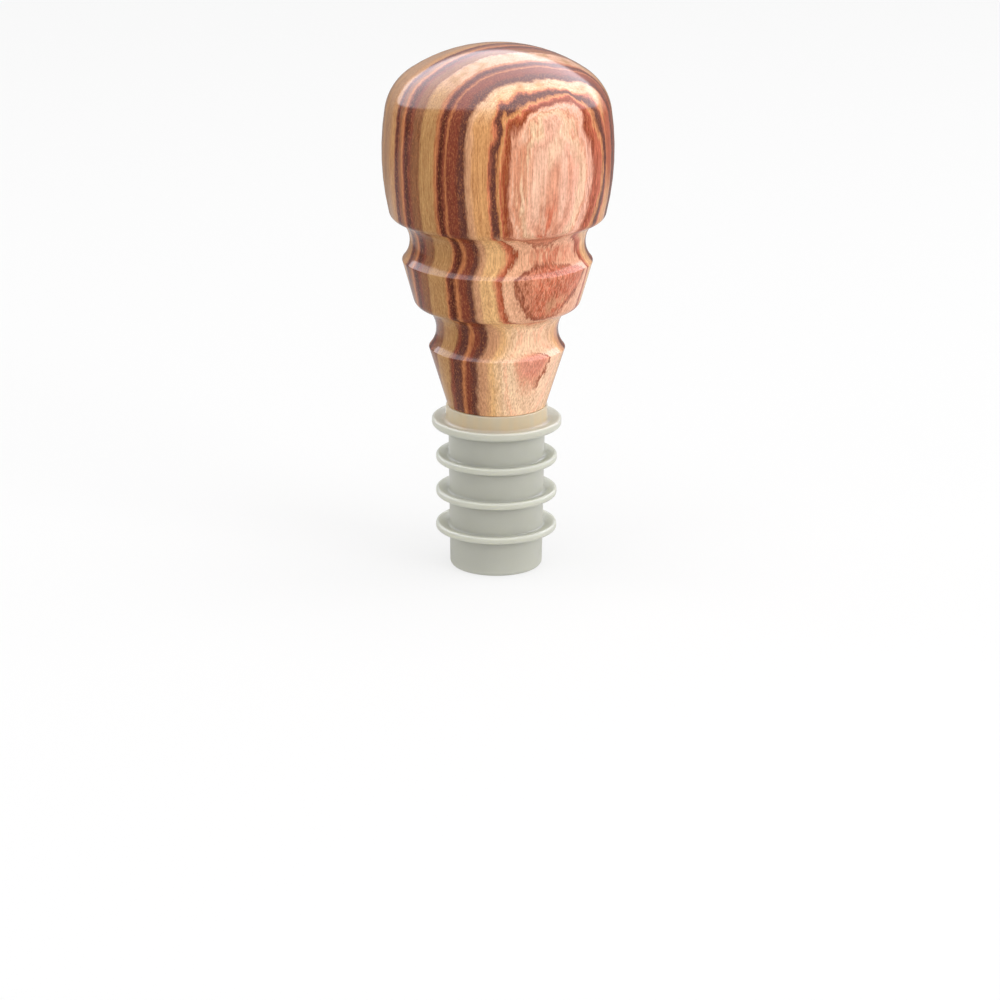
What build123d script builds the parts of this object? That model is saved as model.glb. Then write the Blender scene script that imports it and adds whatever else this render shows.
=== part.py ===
from build123d import *
import math
import os

# Bottle stopper: a lathe-turned hardwood top on a finned silicone plug, joined by a hidden dowel.
# Millimetres, +Z up the turning axis. The origin is the middle of the plug's flat end.

# Silicone plug, lengths in order from its neck down to its flat end
neck_diameter = 16.9
neck_height = 2.8
neck_chamfer = 0.15
flange_width = 2.35
flange_thickness = 1.4
flange_top_round = 0.35
flange_under_round = 0.6
flange_root_round = 0.5
dish_angle = 17.0
core_inset = 0.35
core_taper = 0.4
end_round = 0.8
fin_count = 3
fin_width = 2.0
fin_thickness = 1.2
fin_chamfer = 0.35
flange_to_fin = 6.2
fin_pitch = 6.0
fin_to_end = 7.0

# Turned top, lengths in order from its foot to its crown
foot_inset = 0.25
foot_round = 0.3
foot_length = 9.95
foot_flare = 3.1
lower_cove_depth = 1.5
lower_cove_length = 6.85
waist_ridge_diameter = 31.4
waist_taper = 2.25
waist_lip = 1.55
waist_round = 1.9
waist_length = 8.0
upper_cove_depth = 1.55
upper_cove_length = 6.95
head_diameter = 38.0
head_base_inset = 1.45
head_lip = 1.25
head_base_round = 1.45
head_base_to_widest = 11.3
widest_to_shoulder = 10.35
shoulder_inset = 1.25
shoulder_round = 8.8
crown_rise = 6.9
ridge_round = 0.25

# Dowel pin and the blind holes that hold it
dowel_diameter = 9.5
dowel_length = 30.0
dowel_in_plug = 15.0
dowel_chamfer = 0.8
dowel_clearance = 0.05
dowel_end_gap = 0.5

# A rounded corner takes at most this share of the narrow ledge beside it
ledge_share = 1.25

# Sizes that the pieces share
plug_height = neck_height + flange_to_fin + fin_pitch * (fin_count - 1) + fin_to_end
neck_radius = neck_diameter / 2
core_top_radius = neck_radius - core_inset
hole_radius = dowel_diameter / 2 + dowel_clearance
dowel_bottom = plug_height - dowel_in_plug


def rounded(profile, corner, size):
    """The profile with its corner nearest to the given point rounded off."""
    nearest = profile.vertices().sort_by_distance(Vector(*corner))[0]
    return fillet(nearest, size)


def chamfered(profile, corner, size):
    """The profile with its corner nearest to the given point cut off."""
    nearest = profile.vertices().sort_by_distance(Vector(*corner))[0]
    return chamfer(nearest, size)


def turned(profile):
    """The solid that a half profile, radius across and height up, sweeps round the axis."""
    return revolve(Plane.XZ * profile, Axis.Z)


def blind_hole(low, high):
    """Half profile of the dowel's hole between two heights."""
    return make_face(
        Polyline((0, low), (hole_radius, low), (hole_radius, high), (0, high), close=True)
    )


def cove(lower, upper, depth):
    """A hollow arc between two points of the outline, this deep at its middle."""
    throat = ((lower[0] + upper[0]) / 2 - depth, (lower[1] + upper[1]) / 2)
    return ThreePointArc(lower, throat, upper)


def turned_top():
    """The hardwood top: one turned outline with two coves, and the dowel's hole in its foot."""
    foot = plug_height
    foot_ridge = foot + foot_length
    waist_base = foot_ridge + lower_cove_length
    waist_ridge = waist_base + waist_length
    head_base = waist_ridge + upper_cove_length
    widest = head_base + head_base_to_widest
    shoulder = widest + widest_to_shoulder
    crown = shoulder + crown_rise

    foot_radius = neck_radius - foot_inset
    waist_radius = waist_ridge_diameter / 2
    head_radius = head_diameter / 2
    foot_corner = (foot_radius, foot)
    foot_ridge_corner = (foot_radius + foot_flare, foot_ridge)
    waist_corner = (waist_radius - waist_taper, waist_base)
    waist_under = (waist_corner[0] - waist_lip, waist_base)
    waist_ridge_corner = (waist_radius, waist_ridge)
    head_corner = (head_radius - head_base_inset, head_base)
    head_under = (head_corner[0] - head_lip, head_base)
    widest_point = (head_radius, widest)
    shoulder_corner = (head_radius - shoulder_inset, shoulder)
    crown_point = (0, crown)

    outline = [
        Polyline((0, foot), foot_corner, foot_ridge_corner),
        cove(foot_ridge_corner, waist_under, lower_cove_depth),
        Polyline(waist_under, waist_corner, waist_ridge_corner),
        cove(waist_ridge_corner, head_under, upper_cove_depth),
        Line(head_under, head_corner),
        ThreePointArc(head_corner, widest_point, shoulder_corner),
        TangentArc(crown_point, shoulder_corner, tangent=(1, 0)),
        Line(crown_point, (0, foot)),
    ]
    profile = make_face([edge for part in outline for edge in part.edges()])
    profile = rounded(profile, shoulder_corner, shoulder_round)
    profile = rounded(profile, head_corner, min(head_base_round, head_lip * ledge_share))
    profile = rounded(profile, waist_corner, min(waist_round, waist_lip * ledge_share))
    profile = rounded(profile, foot_corner, foot_round)
    for ridge in (foot_ridge_corner, waist_ridge_corner):
        profile = rounded(profile, ridge, ridge_round)
    hole_floor = dowel_bottom + dowel_length + dowel_end_gap
    return turned(profile - blind_hole(foot, hole_floor))


def core_radius(height):
    """Radius of the plug's tapered core at a height above its end."""
    return core_top_radius - core_taper * (plug_height - height) / plug_height


def dished_ring(root_radius, root_height, rim_radius, thickness):
    """Half profile of a disc that rises outwards from its root, and its two rim corners."""
    slope = math.tan(math.radians(dish_angle))
    inner_top = root_height - (root_radius - hole_radius) * slope
    rim_top = (rim_radius, root_height + (rim_radius - root_radius) * slope)
    rim_under = (rim_radius, rim_top[1] - thickness)
    ring = make_face(
        Polyline(
            (hole_radius, inner_top),
            rim_top,
            rim_under,
            (hole_radius, inner_top - thickness),
            close=True,
        )
    )
    return ring, rim_top, rim_under


def flange(root_height):
    """Half profile of the dished flange, with its rounded rim."""
    ring, rim_top, rim_under = dished_ring(
        neck_radius, root_height, neck_radius + flange_width, flange_thickness
    )
    ring = rounded(ring, rim_top, flange_top_round)
    return rounded(ring, rim_under, flange_under_round)


def sealing_fin(root_height):
    """Half profile of one sealing fin, with a straight land between two small chamfers."""
    ring, rim_top, rim_under = dished_ring(
        core_radius(root_height), root_height, core_top_radius + fin_width, fin_thickness
    )
    ring = chamfered(ring, rim_top, fin_chamfer)
    return chamfered(ring, rim_under, fin_chamfer)


def silicone_plug():
    """The moulded plug: neck, dished flange, tapered core with sealing fins, and dowel socket."""
    flange_root = plug_height - neck_height
    neck_bottom = flange_root - flange_thickness
    neck_corner = (neck_radius, plug_height)
    root_corner = (neck_radius, flange_root)
    end_corner = (core_radius(0), 0)
    profile = make_face(
        Polyline(
            (0, 0),
            end_corner,
            (core_radius(neck_bottom), neck_bottom),
            root_corner,
            neck_corner,
            (0, plug_height),
            close=True,
        )
    )
    profile += flange(flange_root)
    for place in range(fin_count):
        profile += sealing_fin(flange_root - flange_to_fin - fin_pitch * place)
    profile = chamfered(profile, neck_corner, neck_chamfer)
    profile = rounded(profile, end_corner, end_round)
    profile = rounded(profile, root_corner, flange_root_round)
    return turned(profile - blind_hole(dowel_bottom - dowel_end_gap, plug_height))


def dowel_pin():
    """The plain hardwood dowel with chamfered ends."""
    rod = Pos(0, 0, dowel_bottom) * Cylinder(
        dowel_diameter / 2, dowel_length, align=(Align.CENTER, Align.CENTER, Align.MIN)
    )
    return chamfer(rod.edges().filter_by(GeomType.CIRCLE), dowel_chamfer)


os.makedirs("parts", exist_ok=True)
for name, piece in {
    "turned_top": turned_top(),
    "silicone_plug": silicone_plug(),
    "dowel_pin": dowel_pin(),
}.items():
    export_step(piece, f"parts/{name}.step")
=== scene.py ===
"""Looks of a bottle stopper: a turned, lacquered hardwood top on a finned silicone plug.

Sizes are millimetres in the classes below, and metres in the finished meshes. +Z runs up the turning axis,
and the origin is the middle of the plug's flat end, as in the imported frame.
"""

import logging
import math
from dataclasses import dataclass, field
from enum import Enum
from functools import partial, reduce
from typing import Union

import bmesh
import bpy
from mathutils import Matrix, Quaternion, Vector


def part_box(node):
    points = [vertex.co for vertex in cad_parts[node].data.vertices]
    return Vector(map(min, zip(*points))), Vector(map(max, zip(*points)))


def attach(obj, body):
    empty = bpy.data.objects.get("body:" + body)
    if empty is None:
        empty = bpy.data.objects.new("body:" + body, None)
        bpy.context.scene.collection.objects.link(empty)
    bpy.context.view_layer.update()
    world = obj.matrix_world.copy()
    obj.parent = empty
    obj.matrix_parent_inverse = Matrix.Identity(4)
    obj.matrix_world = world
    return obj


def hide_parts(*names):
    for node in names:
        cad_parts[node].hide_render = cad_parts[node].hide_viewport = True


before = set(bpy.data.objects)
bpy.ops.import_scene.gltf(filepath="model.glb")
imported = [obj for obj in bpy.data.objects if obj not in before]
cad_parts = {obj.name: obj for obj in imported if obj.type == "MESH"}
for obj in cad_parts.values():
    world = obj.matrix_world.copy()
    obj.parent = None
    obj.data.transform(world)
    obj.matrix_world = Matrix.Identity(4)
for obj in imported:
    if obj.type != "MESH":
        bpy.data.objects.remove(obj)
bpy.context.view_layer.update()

log = logging.getLogger("bottle_stopper")

Socket = bpy.types.NodeSocket
Value = Union[bpy.types.NodeSocket, float]
Colour = tuple[float, float, float, float]
Triple = tuple[float, float, float]
Range = tuple[float, float]

MM = 0.001
BODY = "root"
WHITE: Colour = (1.0, 1.0, 1.0, 1.0)
# A limit that no point of the part reaches, in millimetres
FAR = 99.0
# How often the search for the middle of a rounded corner is repeated
SEARCH_STEPS = 30


def linear(channel: float) -> float:
    """One sRGB channel, 0 to 255, as a linear share of full light."""
    share = channel / 255
    return share / 12.92 if share <= 0.04045 else ((share + 0.055) / 1.055) ** 2.4


def colour(red: float, green: float, blue: float) -> Colour:
    """An sRGB colour, 0 to 255 a channel, as a linear colour for a socket."""
    return linear(red), linear(green), linear(blue), 1.0


class Graph:
    """A node tree, with short methods for the nodes that the finishes are made of."""

    def __init__(self, tree: bpy.types.NodeTree) -> None:
        """Take over a node tree and empty it."""
        self.tree = tree
        self.tree.nodes.clear()

    def node(self, kind: str, **settings: object) -> bpy.types.Node:
        """Add a node.

        Args:
            kind: the node's type name, without its leading ShaderNode.
            settings: properties to set on it.

        Returns:
            The new node.
        """
        made = self.tree.nodes.new("ShaderNode" + kind)
        for name, setting in settings.items():
            setattr(made, name, setting)
        return made

    def feed(self, socket: Socket, value: object) -> None:
        """Link a socket to another, or set its value.

        Args:
            socket: the input to fill.
            value: an output socket, a number, or a tuple of numbers.
        """
        if isinstance(value, bpy.types.NodeSocket):
            self.tree.links.new(value, socket)
        else:
            socket.default_value = value

    def feed_all(self, node: bpy.types.Node, values: dict[str, object]) -> None:
        """Link or set several inputs of a node.

        Args:
            node: the node.
            values: what each input is fed, by the input's name.
        """
        for name, value in values.items():
            self.feed(node.inputs[name], value)

    def surface(self, shader: str, output: str) -> bpy.types.Node:
        """Add a shader that feeds the tree's output.

        Args:
            shader: the shader node's type name, without its leading ShaderNode.
            output: the output node's type name, likewise.

        Returns:
            The shader node.
        """
        made = self.node(shader)
        self.feed(self.node(output).inputs["Surface"], made.outputs[0])
        return made

    def math(self, operation: str, *values: Value, clamp: bool = False) -> Socket:
        """Work out a number.

        Args:
            operation: the Math node's operation.
            values: its inputs, in order.
            clamp: keep the result between 0 and 1.

        Returns:
            The result's socket.
        """
        made = self.node("Math", operation=operation, use_clamp=clamp)
        for socket, value in zip(made.inputs, values):
            self.feed(socket, value)
        return made.outputs[0]

    def total(self, *values: Value) -> Socket:
        """The sum of two or more numbers."""
        return reduce(partial(self.math, "ADD"), values)

    def product(self, *values: Value) -> Socket:
        """The product of two or more numbers."""
        return reduce(partial(self.math, "MULTIPLY"), values)

    def remap(
        self, value: Value, low: float, high: float, to_low: float = 0.0, to_high: float = 1.0
    ) -> Socket:
        """Carry a number smoothly from one range to another.

        Args:
            value: the number.
            low: where the change starts.
            high: where the change ends.
            to_low: the result at the start.
            to_high: the result at the end.

        Returns:
            The result's socket.
        """
        made = self.node("MapRange", interpolation_type="SMOOTHSTEP")
        self.feed_all(made, {
            "Value": value, "From Min": low, "From Max": high, "To Min": to_low, "To Max": to_high,
        })
        return made.outputs["Result"]

    def mapping(
        self, vector: Socket, scale: Triple, turn: float = 0.0, shift: Triple = (0.0, 0.0, 0.0)
    ) -> Socket:
        """Scale, turn about Z, and then shift a coordinate.

        Args:
            vector: the coordinate.
            scale: the factor along each axis.
            turn: the angle about Z, in radians.
            shift: what is added last.

        Returns:
            The new coordinate's socket.
        """
        made = self.node("Mapping")
        self.feed_all(made, {
            "Vector": vector, "Scale": scale, "Rotation": (0.0, 0.0, turn), "Location": shift,
        })
        return made.outputs["Vector"]

    def millimetres(self, turn: float = 0.0, shift: Triple = (0.0, 0.0, 0.0)) -> Socket:
        """The object's own coordinate in millimetres, turned about Z and shifted."""
        place = self.node("TexCoord").outputs["Object"]
        return self.mapping(place, (1 / MM, 1 / MM, 1 / MM), turn, shift)

    def cells(self, vector: Socket, across: float, along: float) -> Socket:
        """A coordinate counted in cells, which are drawn out along Z."""
        return self.mapping(vector, (1 / across, 1 / across, 1 / along))

    def split(self, vector: Socket) -> list[Socket]:
        """Take a coordinate apart.

        Args:
            vector: the coordinate.

        Returns:
            The sockets of its X, Y and Z parts.
        """
        parts = self.node("SeparateXYZ")
        self.feed(parts.inputs[0], vector)
        return list(parts.outputs)

    def noise(self, vector: Socket, across: float, along: float, detail: float) -> Socket:
        """Cloudy noise from -1 to 1, with its cells drawn out along Z.

        Args:
            vector: the coordinate, in millimetres.
            across: the size of a cell across the grain.
            along: the size of a cell along the grain.
            detail: how many finer layers it holds.

        Returns:
            The noise's socket.
        """
        made = self.node("TexNoise", noise_dimensions="3D")
        self.feed_all(made, {
            "Vector": self.cells(vector, across, along), "Scale": 1.0, "Detail": detail,
        })
        return self.math("MULTIPLY_ADD", made.outputs[0], 2.0, -1.0)

    def line_noise(self, value: Value, cell: float, detail: float = 3.0) -> Socket:
        """Cloudy noise from -1 to 1 along one number.

        Args:
            value: the number that it follows.
            cell: the size of a cell.
            detail: how many finer layers it holds.

        Returns:
            The noise's socket.
        """
        made = self.node("TexNoise", noise_dimensions="1D")
        self.feed_all(made, {"W": self.math("DIVIDE", value, cell), "Scale": 1.0, "Detail": detail})
        return self.math("MULTIPLY_ADD", made.outputs[0], 2.0, -1.0)

    def mix(self, share: Value, first: object, second: object, blend: str = "MIX") -> Socket:
        """Mix two colours.

        Args:
            share: how much of the second colour is used, 0 to 1.
            first: a colour or its socket.
            second: a colour or its socket.
            blend: how the second is laid on the first.

        Returns:
            The mixed colour's socket.
        """
        made = self.node("Mix", data_type="RGBA", blend_type=blend, clamp_factor=True)
        inputs = [socket for socket in made.inputs if socket.type == "RGBA"]
        self.feed(made.inputs[0], share)
        self.feed(inputs[0], first)
        self.feed(inputs[1], second)
        return next(socket for socket in made.outputs if socket.type == "RGBA")

    def tint(self, base: object, amount: Socket, shares: Triple = (1.0, 1.0, 1.0)) -> Socket:
        """Make a colour's channels stronger or weaker.

        Args:
            base: a colour or its socket.
            amount: the number that the change follows.
            shares: how much of it is added to 1 in each channel's factor.

        Returns:
            The changed colour's socket.
        """
        factors = self.node("CombineColor")
        for socket, share in zip(factors.inputs, shares):
            self.feed(socket, self.math("MULTIPLY_ADD", amount, share, 1.0))
        return self.mix(1.0, base, factors.outputs[0], "MULTIPLY")

    def bump(self, height: Socket, depth: float, strength: float) -> Socket:
        """A normal that follows a height map.

        Args:
            height: the height's socket, about 0 to 1.
            depth: the real height of 1, in millimetres.
            strength: the share of the effect that is used.

        Returns:
            The normal's socket.
        """
        made = self.node("Bump")
        self.feed_all(made, {"Height": height, "Distance": depth * MM, "Strength": strength})
        return made.outputs["Normal"]


def new_material(name: str) -> tuple[bpy.types.Material, Graph, bpy.types.Node]:
    """Start a material with one principled shader.

    Args:
        name: the material's name.

    Returns:
        The material, its node graph, and the shader node.
    """
    material = bpy.data.materials.new(name)
    material.use_nodes = True
    graph = Graph(material.node_tree)
    return material, graph, graph.surface("BsdfPrincipled", "OutputMaterial")


class Tone(Enum):
    """The colours of the hardwood's layers, as sRGB channels."""

    ASH = (174, 131, 94)
    OCHRE = (190, 136, 86)
    OLIVE = (184, 137, 86)
    UMBER = (140, 91, 58)
    AMBER = (192, 120, 74)
    RUSSET = (152, 68, 38)
    BRICK = (166, 72, 48)
    WINE = (128, 60, 40)
    MAUVE = (98, 54, 44)
    PLUM = (84, 32, 18)
    TAN = (208, 152, 112)
    HONEY = (213, 153, 98)
    WHEAT = (230, 179, 122)
    PEACH = (236, 178, 140)
    STRAW = (248, 208, 168)
    SALMON = (218, 144, 110)
    BLUSH = (237, 186, 156)
    CORAL = (208, 112, 80)
    ROSE = (228, 156, 128)

    @property
    def linear(self) -> Colour:
        """The tone as a linear colour."""
        return colour(*self.value)


@dataclass(frozen=True)
class Layer:
    """One growth layer of the wood.

    Attributes:
        start: the layer's first position across the layers, in millimetres.
        tone: its colour.
        edge: how soft its start is, in millimetres.
    """

    start: float
    tone: Tone
    edge: float = 0.3


@dataclass(frozen=True)
class Heart:
    """The layers round the heart, as one stretch of the top cuts them open.

    Attributes:
        ceiling: the height where the stretch above takes over, in millimetres above the head's middle.
        blend: how gradually it does so, in millimetres.
        layers: the layers, in order.
    """

    ceiling: float
    blend: float
    layers: tuple[Layer, ...]


@dataclass(frozen=True)
class Opening:
    """How the curve of the layers opens to the right of the heart, in one stretch of the top.

    Attributes:
        ceiling: the height where the stretch above takes over, in millimetres above the head's middle.
        first: how much the curve opens at once.
        further: how much it opens further on.
        climb: how much it opens with height.
        reach: how far to the right it goes on opening, in millimetres.
        soften: how gradually it stops there, in millimetres.
    """

    ceiling: float
    first: float
    further: float
    climb: float
    reach: float
    soften: float = 2.0

    def draw(self, graph: Graph, right: Socket, up: Socket) -> Socket:
        """Work out how far the layers come forward.

        Args:
            graph: the material's nodes.
            right: how far to the right of the heart a point is.
            up: its height above the head's middle.

        Returns:
            The distance's socket, in millimetres.
        """
        right = graph.math("SMOOTH_MIN", right, self.reach, self.soften)
        curve = graph.math("MULTIPLY", right, graph.math("MULTIPLY_ADD", right, self.further, self.first))
        return graph.math("MULTIPLY", right, graph.math("MULTIPLY_ADD", up, self.climb, curve))


@dataclass(frozen=True)
class LayerField:
    """The bent layers of the block that the top was turned from.

    A point's position across the layers is worked out from its depth towards the heading, its place across
    the heading, and its height above the middle of the head.

    Attributes:
        heading: the way that the layers face, in degrees from straight ahead towards +X.
        middle: the height of the head's middle.
        lean: how the layers lean with height.
        cup: how the layers curve round the heart.
        skew: how that curve differs to its two sides.
        twist: how the layers turn with height.
        bow: how that turn grows away from the middle.
        taper: how the layers thin out with height.
        right_turn: how gradually the curve opens to the right of the heart, in millimetres.
        openings: how the curve opens to the right, from the head down.
        stretch_blend: how gradually one stretch goes over into the next, in millimetres.
    """

    heading: float = 27.0
    middle: float = 71.0
    lean: float = -0.165
    cup: float = -0.0188
    skew: float = -0.00038
    twist: float = -0.00724
    bow: float = -0.000148
    taper: float = 0.00436
    right_turn: float = 2.0
    openings: tuple[Opening, ...] = (
        Opening(FAR, first=0.0, further=0.0023, climb=0.0132, reach=11.5),
        Opening(-12.5, first=0.0, further=0.0036, climb=0.0, reach=9.5),
        Opening(-28.0, first=0.024, further=0.0, climb=0.0, reach=6.0),
    )
    stretch_blend: float = 3.0

    def coordinate(self, graph: Graph) -> Socket:
        """The coordinate across, against and up the layers, in millimetres."""
        return graph.millimetres(-math.radians(self.heading), (0.0, 0.0, -self.middle))

    def position(self, graph: Graph, coordinate: Socket) -> Socket:
        """Work out a point's position across the layers.

        Args:
            graph: the material's nodes.
            coordinate: what coordinate() gave.

        Returns:
            The position's socket, in millimetres.
        """
        across, against, up = graph.split(coordinate)
        depth = graph.math("MULTIPLY", against, -1.0)
        thinning = graph.math("MULTIPLY_ADD", up, self.taper, 1.0)
        squared = graph.math("MULTIPLY", across, across)
        curve = graph.total(
            graph.math("MULTIPLY", across, self.cup),
            graph.math("MULTIPLY", squared, self.skew),
            graph.math("MULTIPLY", up, self.twist),
            graph.product(up, up, self.bow),
        )
        soft = graph.math("SQRT", graph.math("ADD", squared, self.right_turn ** 2))
        right = graph.math("MULTIPLY", graph.math("ADD", across, soft), 0.5)
        opened = 0.0
        for opening in self.openings:
            half = self.stretch_blend / 2
            below = graph.remap(up, opening.ceiling + half, opening.ceiling - half)
            change = graph.math("SUBTRACT", opening.draw(graph, right, up), opened)
            opened = graph.math("MULTIPLY_ADD", below, change, opened)
        return graph.total(
            graph.math("MULTIPLY", depth, thinning),
            graph.math("MULTIPLY", up, self.lean),
            graph.math("MULTIPLY", across, curve),
            opened,
        )


@dataclass(frozen=True)
class Grain:
    """One noise in a material, with its cells drawn out along the grain.

    Attributes:
        across: the size of a cell across the grain, in millimetres.
        along: its size along the grain, in millimetres.
        amount: how much it does.
        detail: how many finer layers it holds.
    """

    across: float
    along: float
    amount: float = 1.0
    detail: float = 2.0

    def draw(self, graph: Graph, place: Socket) -> Socket:
        """The noise's socket, from minus its amount to its amount."""
        return graph.math("MULTIPLY", graph.noise(place, self.across, self.along, self.detail), self.amount)


@dataclass(frozen=True)
class Mark:
    """A soft streak or patch of another colour, broken up along the grain.

    Lengths are in millimetres, and heights are above the head's middle.

    Attributes:
        tone: its colour.
        amount: the most of it that is laid on.
        grain: the noise that breaks it up.
        across: how far across the heading its middle is, at the height of the head's middle.
        reach: how far it goes to each side.
        heights: its lowest and its highest height.
        fade: how gradually it fades out towards its top.
        layers: the first and the last position across the layers that it lies in.
        lean: how far its middle moves across with each millimetre up.
        broken: the noise's least and greatest level, between which the mark comes in.
        core: the share of its reach that has its full colour.
        foot: how gradually it fades out towards its bottom.
        edge: how gradually it fades out towards its first and its last layer.
    """

    tone: Tone
    amount: float
    grain: Grain
    across: float
    reach: float
    heights: Range
    fade: float
    layers: Range
    lean: float = 0.0
    broken: Range = (-0.25, 0.2)
    core: float = 0.3
    foot: float = 1.0
    edge: float = 0.2

    def share(self, graph: Graph, place: Socket, position: Socket) -> Socket:
        """Work out how much of the mark lies at a point.

        Args:
            graph: the material's nodes.
            place: the coordinate across, against and up the layers, in millimetres.
            position: the position across the layers, in millimetres.

        Returns:
            The share's socket, from 0 to the mark's amount.
        """
        across, _, height = graph.split(place)
        middle = graph.math("MULTIPLY_ADD", height, self.lean, self.across)
        beside = graph.math("ABSOLUTE", graph.math("SUBTRACT", across, middle))
        low, high = self.heights
        first, last = self.layers
        return graph.product(
            graph.remap(self.grain.draw(graph, place), *self.broken, 0.0, self.amount),
            graph.remap(beside, self.reach, self.reach * self.core),
            graph.remap(height, low, low + self.foot),
            graph.remap(height, high, high - self.fade),
            graph.remap(position, first, first + self.edge),
            graph.remap(position, last, last - self.edge),
        )


@dataclass(frozen=True)
class Pores:
    """Short open pores, scattered over the wood.

    Attributes:
        across: the size of the cell round a pore across the grain, in millimetres.
        along: the cell's size along the grain, in millimetres.
        rim: how far from its middle a pore ends, in cells.
        floor: how far from its middle it keeps its full depth, in cells.
        closed: the share of the cells that have no pore.
        tone: the colour in a pore.
        amount: the most of it that is laid on.
    """

    across: float = 0.6
    along: float = 1.1
    rim: float = 0.22
    floor: float = 0.1
    closed: float = 0.6
    tone: Tone = Tone.WINE
    amount: float = 0.12

    def draw(self, graph: Graph, place: Socket) -> Socket:
        """Work out how deep in a pore a point lies.

        Args:
            graph: the material's nodes.
            place: the coordinate, in millimetres.

        Returns:
            The depth's socket, from 0 outside a pore to 1 in its middle.
        """
        cells = graph.node("TexVoronoi", feature="F1", distance="EUCLIDEAN")
        graph.feed_all(cells, {"Vector": graph.cells(place, self.across, self.along), "Scale": 1.0})
        lots = graph.node("SeparateColor")
        graph.feed(lots.inputs[0], cells.outputs["Color"])
        return graph.product(
            graph.remap(cells.outputs["Distance"], self.rim, self.floor),
            graph.math("GREATER_THAN", lots.outputs[0], self.closed),
        )


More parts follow.
